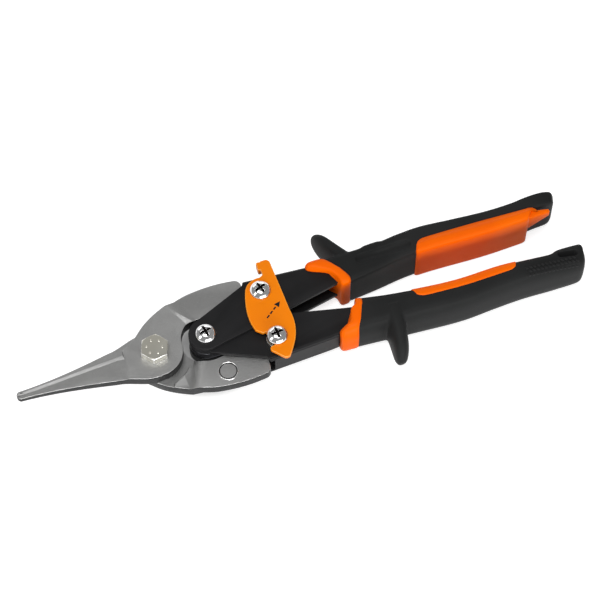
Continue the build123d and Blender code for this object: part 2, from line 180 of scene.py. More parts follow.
# %% Node helpers
def feed(tree, value, socket):
    """Link an output into a socket, or set the socket to a plain value."""
    if isinstance(value, bpy.types.NodeSocket):
        tree.links.new(value, socket)
    else:
        socket.default_value = value


def math_node(tree, operation, first, second=0.0):
    """Output of a math node; its inputs are sockets or plain numbers."""
    node = tree.nodes.new("ShaderNodeMath")
    node.operation = operation
    feed(tree, first, node.inputs[0])
    feed(tree, second, node.inputs[1])
    return node.outputs["Value"]


def ramp(tree, value, low, high, shape="LINEAR"):
    """Output that rises from 0 to 1 while the value goes from low to high."""
    node = tree.nodes.new("ShaderNodeMapRange")
    node.interpolation_type = shape
    feed(tree, value, node.inputs["Value"])
    feed(tree, low, node.inputs["From Min"])
    feed(tree, high, node.inputs["From Max"])
    return node.outputs["Result"]


def mix_node(tree, data_type, share, first, second):
    """Output that goes from first to second while the share goes from 0 to 1."""
    node = tree.nodes.new("ShaderNodeMix")
    node.data_type = data_type
    feed(tree, share, node.inputs["Factor"])
    feed(tree, first, node.inputs["A"])
    feed(tree, second, node.inputs["B"])
    return node.outputs["Result"]


print("node helpers", [helper.__name__ for helper in (feed, math_node, ramp, mix_node)])

# %% [markdown]
# The table is white. Its material adds plain white for the camera and for what shiny parts mirror,
# and a diffuse surface keeps the soft shadow that ties the tool to it. Below the handle pivot the
# added white fades out: a painted shade that keeps the narrow gap between blades and handles dark.

# %% Table material
white_glow = 0.75
painted_shade_within = 10.0 * MM
white_beyond = 24.0 * MM
table_paint = bpy.data.materials.new("table_white")
table_paint.use_nodes = True
tree = table_paint.node_tree
surface = tree.nodes["Principled BSDF"]
surface.inputs["Base Color"].default_value = (0.55, 0.55, 0.55, 1.0)
surface.inputs["Roughness"].default_value = 0.9
surface.inputs["Specular IOR Level"].default_value = 0.0
ray = tree.nodes.new("ShaderNodeLightPath")
seen = math_node(tree, "MAXIMUM", ray.outputs["Is Camera Ray"], ray.outputs["Is Glossy Ray"])
seen = math_node(tree, "MAXIMUM", seen, ray.outputs["Is Transmission Ray"])
ground = tree.nodes.new("ShaderNodeNewGeometry")
away = tree.nodes.new("ShaderNodeVectorMath")
away.operation = "DISTANCE"
tree.links.new(ground.outputs["Position"], away.inputs[0])
away.inputs[1].default_value = (handle_pivot.x, handle_pivot.y, -table_drop)
# Painted shade: the added white is gone near the handle pivot and returns further out.
unshaded_share = ramp(tree, away.outputs["Value"], painted_shade_within, white_beyond, "SMOOTHSTEP")
glow = tree.nodes.new("ShaderNodeEmission")
glow_here = math_node(tree, "MULTIPLY", math_node(tree, "MULTIPLY", seen, white_glow), unshaded_share)
tree.links.new(glow_here, glow.inputs["Strength"])
both = tree.nodes.new("ShaderNodeAddShader")
tree.links.new(surface.outputs[0], both.inputs[0])
tree.links.new(glow.outputs[0], both.inputs[1])
tree.links.new(both.outputs[0], tree.nodes["Material Output"].inputs["Surface"])
table_mesh.materials.append(table_paint)
print("table material", len(tree.nodes), "nodes")

# %% [markdown]
# Several finishes share the same small effects. Each effect is a shader node group with named
# sockets, so a material can set it without knowing its inside. The first is fine grain: noise that
# lifts the surface a little, as pebbled rubber, cast paint or blasted steel has.

# %% Node group: fine grain
def new_group(name, inputs, outputs):
    """An empty shader group with its sockets; inputs are (name, default), outputs (name, type)."""
    group = bpy.data.node_groups.new(name, "ShaderNodeTree")
    for title, value in inputs:
        kind = "NodeSocketColor" if isinstance(value, tuple) else "NodeSocketFloat"
        socket = group.interface.new_socket(name=title, in_out="INPUT", socket_type=kind)
        socket.default_value = value
    for title, kind in outputs:
        group.interface.new_socket(name=title, in_out="OUTPUT", socket_type=kind)
    return group, group.nodes.new("NodeGroupInput"), group.nodes.new("NodeGroupOutput")


def object_noise(group, scale, detail):
    """Noise in the piece's own coordinates, which are in metres."""
    where = group.nodes.new("ShaderNodeTexCoord")
    noise = group.nodes.new("ShaderNodeTexNoise")
    noise.inputs["Detail"].default_value = detail
    group.links.new(where.outputs["Object"], noise.inputs["Vector"])
    feed(group, scale, noise.inputs["Scale"])
    return noise.outputs["Fac"]


grain, grain_in, grain_out = new_group("fine_grain", [("Grain per metre", 2500.0), ("Lift", 0.2)],
                                       [("Height", "NodeSocketFloat")])
fine = object_noise(grain, grain_in.outputs["Grain per metre"], 3.0)
lifted = math_node(grain, "MULTIPLY", fine, grain_in.outputs["Lift"])
grain.links.new(lifted, grain_out.inputs["Height"])
print("group", grain.name)

# %% [markdown]
# Nothing handled is one even colour. The second group is slow mottling: a broad noise that mixes two
# close colours and moves the roughness with them, like handling marks and uneven oil.

# %% Node group: mottle
mottle, mottle_in, mottle_out = new_group(
    "mottle", [("Colour A", (0.5, 0.5, 0.5, 1.0)), ("Colour B", (0.4, 0.4, 0.4, 1.0)),
               ("Patches per metre", 60.0), ("Rough A", 0.4), ("Rough B", 0.5)],
    [("Colour", "NodeSocketColor"), ("Roughness", "NodeSocketFloat")])
broad = object_noise(mottle, mottle_in.outputs["Patches per metre"], 4.0)
patch = ramp(mottle, broad, 0.35, 0.65)
tone = mix_node(mottle, "RGBA", patch, mottle_in.outputs["Colour A"], mottle_in.outputs["Colour B"])
rough = mix_node(mottle, "FLOAT", patch, mottle_in.outputs["Rough A"], mottle_in.outputs["Rough B"])
mottle.links.new(tone, mottle_out.inputs["Colour"])
mottle.links.new(rough, mottle_out.inputs["Roughness"])
print("group", mottle.name)

# %% [markdown]
# The third group finds sharp edges and lightens them. That is partly wear, since steel rubs bright and
# paint rubs thin where the surface turns quickly, and partly a painted highlight for the light such an
# edge catches. Pointiness says how much it turns, and a short ramp picks the edges out.

# %% Node group: edge wear and painted highlight
wear_ramp_length = 0.06
wear_and_highlight, wear_in, wear_out = new_group(
    "edge_wear_and_highlight", [("Base", (0.1, 0.1, 0.1, 1.0)), ("Worn and lit", (0.5, 0.5, 0.5, 1.0)), ("Start", 0.53),
                  ("Amount", 0.6)], [("Colour", "NodeSocketColor")])
bend = wear_and_highlight.nodes.new("ShaderNodeNewGeometry")
wear_start = wear_in.outputs["Start"]
edge = ramp(wear_and_highlight, bend.outputs["Pointiness"], wear_start,
            math_node(wear_and_highlight, "ADD", wear_start, wear_ramp_length))
worn_and_lit_share = math_node(wear_and_highlight, "MULTIPLY", edge, wear_in.outputs["Amount"])
tint = mix_node(wear_and_highlight, "RGBA", worn_and_lit_share, wear_in.outputs["Base"], wear_in.outputs["Worn and lit"])
wear_and_highlight.links.new(tint, wear_out.inputs["Colour"])
print("group", wear_and_highlight.name)

# %% [markdown]
# The blades are ground bright on their faces. Their flanks, the side faces, get a painted shade, a
# near-black colour for the little light they catch. The fourth group tells the two apart by the
# direction a surface faces on the tool itself, so the painted shade stays on the flank from every side.

# %% Node group: painted shade on flanks
flank_shade_group, flank_in, flank_out = new_group(
    "flank_painted_shade", [("Face", (0.5, 0.5, 0.5, 1.0)), ("Flank", (0.1, 0.1, 0.1, 1.0))],
    [("Colour", "NodeSocketColor")])
facing = flank_shade_group.nodes.new("ShaderNodeNewGeometry")
parts = flank_shade_group.nodes.new("ShaderNodeSeparateXYZ")
flank_shade_group.links.new(facing.outputs["Normal"], parts.inputs[0])
level = math_node(flank_shade_group, "ABSOLUTE", parts.outputs["Z"])
picked = mix_node(flank_shade_group, "RGBA", ramp(flank_shade_group, level, 0.25, 0.5),
                  flank_in.outputs["Flank"], flank_in.outputs["Face"])
flank_shade_group.links.new(picked, flank_out.inputs["Colour"])
print("group", flank_shade_group.name)

# %% [markdown]
# A finish is then one short recipe: mottle for colour and roughness, edge wear with its painted
# highlight and the painted shade on flanks over it where they are asked for, and grain into the bump.
# The Principled shader stays in the material itself, where an exporter can read it.

# %% Finish recipe
def use_group(tree, group, values):
    """Place a group in a material; values are plain values or outputs, by the socket's name."""
    node = tree.nodes.new("ShaderNodeGroup")
    node.node_tree = group
    for title, value in values.items():
        feed(tree, value, node.inputs[title])
    return node


def finish(name, colours, rough_range, metallic=0.0, grain_scale=2500.0, grain_lift=0.15,
           bump_depth=0.0001, patches=60.0, worn_and_lit=None, wear_and_lit_amount=0.0, specular=0.5, flank=None):
    """A material from the shared groups; colours are the two mottled tones."""
    material = bpy.data.materials.new(name)
    material.use_nodes = True
    tree = material.node_tree
    shader = tree.nodes["Principled BSDF"]
    shader.inputs["Metallic"].default_value = metallic
    shader.inputs["Specular IOR Level"].default_value = specular
    tone = use_group(tree, mottle, {
        "Colour A": (*colours[0], 1.0), "Colour B": (*colours[1], 1.0),
        "Patches per metre": patches, "Rough A": rough_range[0], "Rough B": rough_range[1]})
    tree.links.new(tone.outputs["Roughness"], shader.inputs["Roughness"])
    colour = tone.outputs["Colour"]
    # Edge wear with a painted highlight on sharp edges.
    if worn_and_lit:
        rub = use_group(tree, wear_and_highlight, {"Base": colour, "Worn and lit": (*worn_and_lit, 1.0), "Amount": wear_and_lit_amount})
        colour = rub.outputs["Colour"]
    # Painted shade on the side faces, where a flank colour is given.
    if flank:
        flank_shade = use_group(tree, flank_shade_group, {"Face": colour, "Flank": (*flank, 1.0)})
        colour = flank_shade.outputs["Colour"]
    tree.links.new(colour, shader.inputs["Base Color"])
    dust = use_group(tree, grain, {"Grain per metre": grain_scale, "Lift": grain_lift})
    bump = tree.nodes.new("ShaderNodeBump")
    bump.inputs["Distance"].default_value = bump_depth
    bump.inputs["Strength"].default_value = 1.0
    tree.links.new(dust.outputs["Height"], bump.inputs["Height"])
    tree.links.new(bump.outputs["Normal"], shader.inputs["Normal"])
    return material


print("finish recipe uses", [group.name for group in (mottle, wear_and_highlight, flank_shade_group, grain)])

# %% [markdown]
# Now the finishes themselves, one call each. Bare metals are fully metallic with a wide or narrow
# gloss; paints and plastics are not metallic, and their low specular keeps the black grips black.

# %% Finishes
ground_steel = finish("ground_steel", [(0.44, 0.44, 0.435), (0.36, 0.36, 0.355)], (0.34, 0.42),
                      metallic=1.0, grain_scale=1500, grain_lift=0.8, bump_depth=0.0001, patches=160,
                      worn_and_lit=(0.85, 0.85, 0.84), wear_and_lit_amount=0.6, flank=(0.022, 0.022, 0.023))
black_paint = finish("black_paint", [(0.009, 0.009, 0.0095), (0.012, 0.012, 0.0125)], (0.36, 0.44),
                     grain_scale=900, grain_lift=0.3, bump_depth=0.00003, patches=40,
                     worn_and_lit=(0.05, 0.05, 0.053), wear_and_lit_amount=0.5, specular=0.15)
chrome = finish("bright_chrome", [(0.80, 0.80, 0.80), (0.74, 0.74, 0.745)], (0.08, 0.13), metallic=1.0,
                grain_scale=5000, grain_lift=0.05, bump_depth=0.000004)
zinc = finish("zinc_plate", [(0.74, 0.72, 0.63), (0.64, 0.62, 0.54)], (0.27, 0.36), metallic=1.0,
              grain_scale=2600, grain_lift=0.2, bump_depth=0.00003, worn_and_lit=(0.9, 0.9, 0.86), wear_and_lit_amount=0.5)
orange_paint = finish("orange_enamel", [(0.88, 0.22, 0.0), (0.85, 0.205, 0.0)], (0.28, 0.34),
                      grain_scale=700, grain_lift=0.2, bump_depth=0.00002, specular=0.2)
orange_grip = finish("orange_plastic", [(0.90, 0.135, 0.0), (0.87, 0.120, 0.0)], (0.38, 0.46),
                     grain_scale=3000, grain_lift=0.15, bump_depth=0.00003, specular=0.07)
black_grip = finish("soft_black", [(0.015, 0.0155, 0.0155), (0.020, 0.0205, 0.0205)], (0.42, 0.52),
                    grain_scale=2600, grain_lift=0.5, bump_depth=0.00007, patches=35,
                    worn_and_lit=(0.03, 0.03, 0.031), wear_and_lit_amount=0.4, specular=0.06)
spring_steel = finish("oiled_spring", [(0.16, 0.16, 0.17), (0.10, 0.10, 0.11)], (0.25, 0.4), metallic=1.0)
washer_plastic = finish("washer_plastic", [(0.02, 0.02, 0.02), (0.03, 0.03, 0.03)], (0.5, 0.6),
                        specular=0.3)
# Painted highlights for rounded edges: lighter, glossier copies of steel, black paint and orange enamel.
painted_steel_highlight = finish("painted_steel_highlight", [(0.88, 0.88, 0.87), (0.80, 0.80, 0.79)], (0.22, 0.3), metallic=1.0,
                     grain_scale=2200, grain_lift=0.2, bump_depth=0.00002)
painted_black_highlight = finish("black_edge_painted_highlight", [(0.03, 0.03, 0.032), (0.045, 0.045, 0.048)], (0.28, 0.36),
                    grain_scale=900, grain_lift=0.2, bump_depth=0.00002, specular=0.5)
lit_orange = finish("orange_edge_painted_highlight", [(0.95, 0.33, 0.02), (0.92, 0.30, 0.01)], (0.25, 0.3),
                    grain_scale=700, grain_lift=0.1, bump_depth=0.00001, specular=0.5)
# Black ink for print, also used as painted shade in the stamped groove.
ink_and_painted_shade = finish("black_ink_and_painted_shade", [(0.006, 0.006, 0.006), (0.01, 0.01, 0.01)], (0.5, 0.6), specular=0.2)
print("materials", len(bpy.data.materials))

# %% [markdown]
# The cross recess of a screw looks dark because light hardly gets in. The fifth group paints that
# shade: it marks what lies low and near a screw's axis and makes it near-black. Each screw has its own
# axis and height.

# %% Node group: painted shade in the cross recess
recess_radius = 2.75 * MM
recess_below_crown = 0.5 * MM
recess, recess_in, recess_out = new_group(
    "cross_recess_painted_shade", [("Chrome", (0.8, 0.8, 0.8, 1.0)), ("Axis X", 0.0), ("Axis Y", 0.0), ("Floor", 0.0)],
    [("Colour", "NodeSocketColor")])
where = recess.nodes.new("ShaderNodeTexCoord")
split = recess.nodes.new("ShaderNodeSeparateXYZ")
flat_here = recess.nodes.new("ShaderNodeCombineXYZ")
axis = recess.nodes.new("ShaderNodeCombineXYZ")
gap = recess.nodes.new("ShaderNodeVectorMath")
gap.operation = "DISTANCE"
recess.links.new(where.outputs["Object"], split.inputs[0])
for letter in "XY":
    recess.links.new(split.outputs[letter], flat_here.inputs[letter])
    recess.links.new(recess_in.outputs["Axis " + letter], axis.inputs[letter])
recess.links.new(flat_here.outputs[0], gap.inputs[0])
recess.links.new(axis.outputs[0], gap.inputs[1])
near = math_node(recess, "LESS_THAN", gap.outputs["Value"], recess_radius)
low = math_node(recess, "LESS_THAN", split.outputs["Z"], recess_in.outputs["Floor"])
inside = math_node(recess, "MULTIPLY", near, low)
# Painted shade: near-black inside the recess.
painted_recess_shade = mix_node(recess, "RGBA", inside, recess_in.outputs["Chrome"], (0.015, 0.014, 0.013, 1.0))
recess.links.new(painted_recess_shade, recess_out.inputs["Colour"])


def screw_chrome(node):
    """The chrome finish with painted shade in the recess of one screw."""
    low_corner, high_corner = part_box(node)
    material = chrome.copy()
    material.name = "chrome_" + node
    tree = material.node_tree
    shader = tree.nodes["Principled BSDF"]
    dark = use_group(tree, recess, {
        "Chrome": shader.inputs["Base Color"].links[0].from_socket,
        "Axis X": (low_corner[0] + high_corner[0]) / 2, "Axis Y": (low_corner[1] + high_corner[1]) / 2,
        "Floor": high_corner[2] - recess_below_crown})
    tree.links.new(dark.outputs["Colour"], shader.inputs["Base Color"])
    return material


print("group", recess.name)

# %% [markdown]
# The CAD pieces keep their shape and get a finish each, with the radius of their edges beside it, in
# millimetres. The ground, painted and zinc-plated ones get a second, brighter finish for those edges:
# a painted highlight for the light that the small rounds catch.

# %% Finishes on the CAD pieces
finish_of = {
    "front_blade": (ground_steel, 0.24), "rear_blade": (ground_steel, 0.24),
    "pivot_bolt": (zinc, 0.2), "pivot_washer": (zinc, 0.1), "pivot_nut": (zinc, 0.2),
    "upper_handle_channel": (black_paint, 0.3), "lower_handle_channel": (black_paint, 0.3),
    "handle_pivot_sleeve": (zinc, 0.15), "handle_pivot_screw": (screw_chrome("handle_pivot_screw"), 0.08),
    "latch_pivot_sleeve": (zinc, 0.15), "latch_pivot_screw": (screw_chrome("latch_pivot_screw"), 0.08),
    "catch_sleeve": (zinc, 0.15), "catch_screw": (screw_chrome("catch_screw"), 0.08),
    "upper_tail_spacers": (zinc, 0.1), "lower_tail_spacers": (zinc, 0.1),
    "latch_washer": (washer_plastic, 0.05), "catch_collar": (zinc, 0.15),
    "latch_plate": (orange_paint, 0.35)}
edge_highlight_of = {"ground_steel": painted_steel_highlight, "black_paint": painted_black_highlight, "orange_enamel": lit_orange,
           "zinc_plate": painted_steel_highlight}

for name, (material, radius) in finish_of.items():
    mesh = nodes[name].data
    paint(mesh, material)
    # A piece listed there takes its painted edge highlight as a second material.
    if material.name in edge_highlight_of:
        mesh.materials.append(edge_highlight_of[material.name])
    smooth(mesh)
print("finished CAD pieces", len(finish_of))

# %% [markdown]
# A smooth-shaded box looks like a pillow, so edges sharper than a limit are kept sharp. A small
# geometry-nodes group does that as a modifier, so the CAD mesh itself stays as it is.

# %% Shading by angle
crease_degrees = 34


def shading_by_angle(limit_degrees):
    """Geometry nodes that shade smooth except across edges sharper than the limit."""
    group = bpy.data.node_groups.new("shade_by_angle", "GeometryNodeTree")
    group.interface.new_socket(name="Geometry", in_out="INPUT", socket_type="NodeSocketGeometry")
    group.interface.new_socket(name="Geometry", in_out="OUTPUT", socket_type="NodeSocketGeometry")
    start, stop = group.nodes.new("NodeGroupInput"), group.nodes.new("NodeGroupOutput")
    all_smooth = group.nodes.new("GeometryNodeSetShadeSmooth")
    creased = group.nodes.new("GeometryNodeSetShadeSmooth")
    creased.domain = "EDGE"
    creased.inputs["Shade Smooth"].default_value = False
    angle = group.nodes.new("GeometryNodeInputMeshEdgeAngle")
    sharp = group.nodes.new("FunctionNodeCompare")
    sharp.operation = "GREATER_THAN"
    sharp.inputs["B"].default_value = math.radians(limit_degrees)
    group.links.new(start.outputs[0], all_smooth.inputs["Geometry"])
    group.links.new(all_smooth.outputs[0], creased.inputs["Geometry"])
    group.links.new(angle.outputs["Unsigned Angle"], sharp.inputs["A"])
    group.links.new(sharp.outputs[0], creased.inputs["Selection"])
    group.links.new(creased.outputs[0], stop.inputs[0])
    return group


shade_group = shading_by_angle(crease_degrees)
print("group", shade_group.name)

# %% [markdown]
# Real edges are never knife-sharp, and it is the small round on an edge that catches the light, so
# each piece gets a bevel modifier of a fraction of a millimetre. Doubled vertices are welded and flat
# faces merged before it, because a bevel needs clean edges.

# %% Rounded edges
weld_distance = 0.02 * MM
flat_degrees = 0.6
fine_round = 0.1


def round_edges(piece, radius):
    """Weld, merge flat faces, bevel by angle and even out the shading of a CAD piece."""
    weld = piece.modifiers.new("weld", "WELD")
    weld.merge_threshold = weld_distance
    plane = piece.modifiers.new("merge_flats", "DECIMATE")
    plane.decimate_type = "DISSOLVE"
    plane.angle_limit = math.radians(flat_degrees)
    bevel = piece.modifiers.new("edge_round", "BEVEL")
    bevel.width = radius * MM
    bevel.segments = 2
    bevel.limit_method = "ANGLE"
    bevel.angle_limit = math.radians(crease_degrees)
    bevel.use_clamp_overlap = False
    # The bevel faces take the second material, the painted edge highlight.
    if len(piece.data.materials) > 1:
        bevel.material = 1
    shade = piece.modifiers.new("shade_by_angle", "NODES")
    shade.node_group = shade_group
    if radius > fine_round:
        even = piece.modifiers.new("even_shading", "WEIGHTED_NORMAL")
        even.weight = 100
        even.keep_sharp = True


for name, (material, radius) in finish_of.items():
    round_edges(nodes[name], radius)
print("widest edge round in millimetres", max(radius for material, radius in finish_of.values()))


# %% [markdown]
# A grip is a moulding whose section changes slowly along the handle: a rounded rectangle. It could
# be carved, but a loft is easier to control. One function gives the section at any distance from
# the pivot, and the corner roundness can differ on each side.

# %% Section of a grip
def track(x, points):
    """Smooth value at x through (x, value) points."""
    if x <= points[0][0]:
        return points[0][1]
    for i in range(len(points) - 1):
        x0, y0 = points[i]
        x1, y1 = points[i + 1]
        if x <= x1:
            before = points[max(i - 1, 0)]
            after = points[min(i + 2, len(points) - 1)]
            slope0 = (y1 - before[1]) / (x1 - before[0]) if x1 > before[0] else 0.0
            slope1 = (after[1] - y0) / (after[0] - x0) if after[0] > x0 else 0.0
            t = (x - x0) / (x1 - x0)
            span = x1 - x0
            return ((2 * t**3 - 3 * t**2 + 1) * y0 + (t**3 - 2 * t**2 + t) * span * slope0
                    + (3 * t**2 - 2 * t**3) * y1 + (t**3 - t**2) * span * slope1)
    return points[-1][1]


def corner(angle, square_inner, square_outer):
    """Unit rounded-rectangle point: first along Y (outer positive), then along Z."""
    c, s = math.cos(angle), math.sin(angle)
    share = 0.5 + 0.5 * c
    power = 2.0 / (square_inner * (1 - share) + square_outer * share)
    return math.copysign(abs(c) ** power, c), math.copysign(abs(s) ** power, s)


table_clearance = 0.05
deepest = pivot.z / MM - table_clearance


class Grip:
    """Outline of one grip; side is 1 for the upper handle and -1 for the lower."""

    def __init__(self, side, inner, outer, depth, square_inner, square_outer):
        self.side = side
        self.inner = inner
        self.outer = outer
        self.depth = depth
        self.square_inner = square_inner
        self.square_outer = square_outer

    def point(self, x, angle, swell=0.0):
        """Surface point in millimetres, pushed out by swell."""
        low, high = track(x, self.inner), track(x, self.outer)
        half = (high - low) / 2 + swell
        deep = track(x, self.depth) + swell
        y, z = corner(angle, self.square_inner, self.square_outer)
        return x, self.side * ((low + high) / 2 + y * half), max(z * deep, -deepest)


upper_grip = Grip(1, [(80, 3.0), (86, 3.6), (100, 5.2), (112, 7.0), (124, 7.9), (150, 7.6), (166, 8.2),
                      (168.0, 8.6), (171.0, 11.2), (174, 12.0), (184, 12.6)],
                  [(80, 18.4), (98, 18.3), (99.5, 18.9), (105.5, 19.1), (107, 18.7), (113, 19.5),
                   (124, 20.2), (138, 19.2), (152, 18.3), (163, 18.4), (173, 19.3), (179, 19.5),
                   (184, 18.6)],
                  [(80, 9.3), (88, 9.8), (110, 10.3), (160, 10.3), (178, 9.9), (184, 9.4)], 11.0, 5.0)
lower_grip = Grip(-1, [(80, 3.4), (88, 4.6), (100, 6.6), (120, 8.9), (132, 9.5), (150, 9.0), (165, 10.0),
                       (172.5, 10.4), (175, 9.4), (187, 9.3)],
                  [(80, 19.9), (90, 20.2), (110, 21.2), (130, 22.0), (145, 20.9), (158, 20.1), (170, 20.2),
                   (180, 20.4), (187, 20.2)],
                  [(80, 9.3), (90, 9.9), (110, 10.3), (160, 10.3), (178, 10.1), (187, 9.6)], 5.5, 3.2)
print("grip section at 130:", [round(v, 2) for v in upper_grip.point(130, 0.0)])


# %% [markdown]
# The black cover is lofted from these sections. At its end the sections shrink quickly, as a ball
# does, and lean with the slanted end of the real grip.

# %% Loft of a cover
cover_steps = 120
cover_around = 72
cover_reach = 186.9
end_round = 3.2
end_share = 0.7


def loft_mesh(name, rings):
    """Closed mesh through rings of points in millimetres, with a flat cap on each end."""
    mesh = bpy.data.meshes.new(name)
    count = len(rings[0])
    points = [place(*p) for ring in rings for p in ring]
    faces = []
    for i in range(len(rings) - 1):
        for j in range(count):
            k = (j + 1) % count
            faces.append((i * count + j, i * count + k, (i + 1) * count + k, (i + 1) * count + j))
    faces.append(tuple(range(count)))
    faces.append(tuple(range(len(rings) * count - 1, (len(rings) - 1) * count - 1, -1)))
    mesh.from_pydata(points, [], faces)
    made = bmesh.new()
    made.from_mesh(mesh)
    bmesh.ops.recalc_face_normals(made, faces=made.faces)
    made.to_mesh(mesh)
    made.free()
    smooth(mesh)
    return mesh


def cover_rings(grip, start, stop, lean_start, lean_end):
    """Rings of a cover from its slanted mouth to its rounded, slanted end."""
    rings = []
    middle_end = (track(stop, grip.inner) + track(stop, grip.outer)) / 2
    middle_start = (track(start, grip.inner) + track(start, grip.outer)) / 2
    for i in range(cover_steps + 1):
        t = i / cover_steps
        x = start + (stop - start) * t
        left = stop - x
        shrink = 1.0
        if left < end_round:
            fall = math.sqrt(max(0.0, 1 - (1 - left / end_round) ** 2.4))
            shrink = end_share + (1 - end_share) * fall
        ring = []
        for j in range(cover_around):
            px, py, pz = grip.point(x, 2 * math.pi * j / cover_around)
            mid = grip.side * (track(x, grip.inner) + track(x, grip.outer)) / 2
            py, pz = mid + (py - mid) * shrink, pz * shrink
            lean = lean_start * (1 - t) ** 6 * (abs(py) - middle_start)
            lean += lean_end * t ** 8 * (abs(py) - middle_end)
            ring.append((min(px + lean, cover_reach), py, pz))
        rings.append(ring)
    return rings


upper_cover_mesh = loft_mesh("upper_cover_loft", cover_rings(upper_grip, 83.0, 184.6, -0.52, 0.30))
lower_cover_mesh = loft_mesh("lower_cover_loft", cover_rings(lower_grip, 84.4, 187.0, -0.42, -0.30))
print("cover faces", len(upper_cover_mesh.polygons), len(lower_cover_mesh.polygons))


# %% [markdown]
# Each cover carries a finger guard, a tongue that leans forwards. It is lofted by itself along a
# curved spine, from a wide root inside the cover to a thin round tip.

# %% Finger guards
guard_steps = 26
guard_around = 40
guard_floor = -10.2
tip_begins = 0.72


def spread(t, values):
    """Smooth value at t from 0 to 1 through evenly spaced values."""
    return track(t, [(k / (len(values) - 1), value) for k, value in enumerate(values)])


def guard_rings(side, spine, wide, thick):
    """Rings up a tongue: spine is (x, y) points, wide and thick give its section at each."""
    rings = []
    for i in range(guard_steps + 1):
        t = i / guard_steps
        x = spread(t, [point[0] for point in spine])
        y = spread(t, [point[1] for point in spine])
        half_z, half_x = spread(t, wide), spread(t, thick)
        tip = math.sqrt(max(0.0, 1 - max(0.0, (t - tip_begins) / (1 - tip_begins)) ** 2.2))
        ring = []
        for j in range(guard_around):
            angle = 2 * math.pi * j / guard_around
            c, s = math.cos(angle), math.sin(angle)
            across = half_x * math.copysign(abs(c) ** 0.8, c) * (0.35 + 0.65 * tip)
            up = half_z * math.copysign(abs(s) ** 0.85, s) * (0.12 + 0.88 * tip)
            ring.append((x + across, side * y, max(up, guard_floor)))
        rings.append(ring)
    return rings


upper_guard = loft_mesh("upper_guard", guard_rings(
    1, [(90.6, 13.0), (88.4, 18.5), (84.4, 26.0), (80.9, 33.6)], [9.4, 9.4, 8.8, 7.0],
    [6.6, 4.2, 3.2, 2.6]))
lower_guard = loft_mesh("lower_guard", guard_rings(
    -1, [(100.8, 13.0), (99.8, 20.0), (98.8, 28.0), (97.2, 35.7)], [11.0, 10.6, 9.0, 6.4],
    [7.0, 4.4, 3.7, 3.0]))
print("guard faces", len(upper_guard.polygons), len(lower_guard.polygons))

# %% [markdown]
# Cover and guard are one moulding. A boolean union would leave a sharp line between them, so they
# are fused by a voxel remesh instead, and a little smoothing rounds the corner like a mould does.

# %% Fused covers
fuse_voxel = 0.55 * MM


def fuse(name, meshes, body, smoothing):
    """Join meshes into one piece by a voxel remesh and relax it."""
    joined = bmesh.new()
    for mesh in meshes:
        joined.from_mesh(mesh)
    whole = bpy.data.meshes.new(name)
    joined.to_mesh(whole)
    joined.free()
    piece = mesh_piece(name, whole, body)
    remesh = piece.modifiers.new("fuse", "REMESH")
    remesh.mode = "VOXEL"
    remesh.voxel_size = fuse_voxel
    remesh.use_smooth_shade = True
    relax = piece.modifiers.new("relax", "SMOOTH")
    relax.factor = 0.5
    relax.iterations = smoothing
    made = evaluated_mesh(piece)
    piece.modifiers.clear()
    piece.data = made
    smooth(made)
    return piece


upper_cover = fuse("upper_grip_cover_soft", [upper_cover_mesh, upper_guard], "upper_handle", 3)
lower_cover = fuse("lower_grip_cover_soft", [lower_cover_mesh, lower_guard], "lower_handle", 4)
for cover, node in ((upper_cover, "upper_grip_cover"), (lower_cover, "lower_grip_cover")):
    paint(cover.data, black_grip)
    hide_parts(node)
print("covers", len(upper_cover.data.vertices), len(lower_cover.data.vertices))

# %% [markdown]
# The lower grip ends in a lug with a slot to hang the tool by, and the upper one carries a shallow
# oval pocket, left empty here. Both are stadium shapes cut into the finished cover with a boolean.

# %% Hanging slot and empty pocket
stadium_around = 48


def stadium_cutter(name, centre, half_straight, radius, turn_degrees, heights, flare=0.0):
    """Prism with round ends; it widens by flare towards its first height."""
    rings = []
    turn = math.radians(turn_degrees)
    for z, grow in zip(heights, (flare, 0.0)):
        ring = []
        for j in range(stadium_around):
            angle = 2 * math.pi * j / stadium_around
            along = math.copysign(half_straight, math.cos(angle)) + (radius + grow) * math.cos(angle)
            across = (radius + grow) * math.sin(angle)
            ring.append((centre[0] + along * math.cos(turn) - across * math.sin(turn),
                         centre[1] + along * math.sin(turn) + across * math.cos(turn), z))
        rings.append(ring)
    return mesh_piece(name, loft_mesh(name, rings), None)


def cut_out(piece, cutter):
    """Cut with a boolean, keep the result as the piece's mesh and drop the cutter."""
    cut = piece.modifiers.new("cut", "BOOLEAN")
    cut.operation = "DIFFERENCE"
    cut.object = cutter
    cut.solver = "EXACT"
    made = evaluated_mesh(piece)
    piece.modifiers.clear()
    piece.data = made
    bpy.data.objects.remove(cutter)


cut_out(lower_cover, stadium_cutter("slot_cutter", (179.3, -13.5), 2.9, 1.6, -8, (-14.0, 14.0)))
cut_out(upper_cover, stadium_cutter("pocket_cutter", (105.2, 12.4), 10.2, 2.2, 1.5, (12.0, 9.55), 0.5))
print("covers after cutting", len(lower_cover.data.vertices), len(upper_cover.data.vertices))


# %% [markdown]
# The orange parts are the hard core showing through the cover. Each panel follows the same section
# function as the cover, pushed out a little. It wraps round the inner side from a border on the front
# face to the same border on the back, so the first need is the angle at which that border lies.

# %% Where a border lies
def border_angle(grip, x, border):
    """Angle on the front face at which the surface lies that far from the tool's axis."""
    low_angle, high_angle = 0.0, math.pi
    for _ in range(30):
        middle = (low_angle + high_angle) / 2
        if abs(grip.point(x, middle)[1]) > border:
            low_angle = middle
        else:
            high_angle = middle
    return low_angle


def wrap_angle(grip, x, border, share):
    """Angle round the inner side: share 0 is the border in front, 1 the border behind."""
    start = border_angle(grip, x, border)
    return start + (2 * math.pi - 2 * start) * share


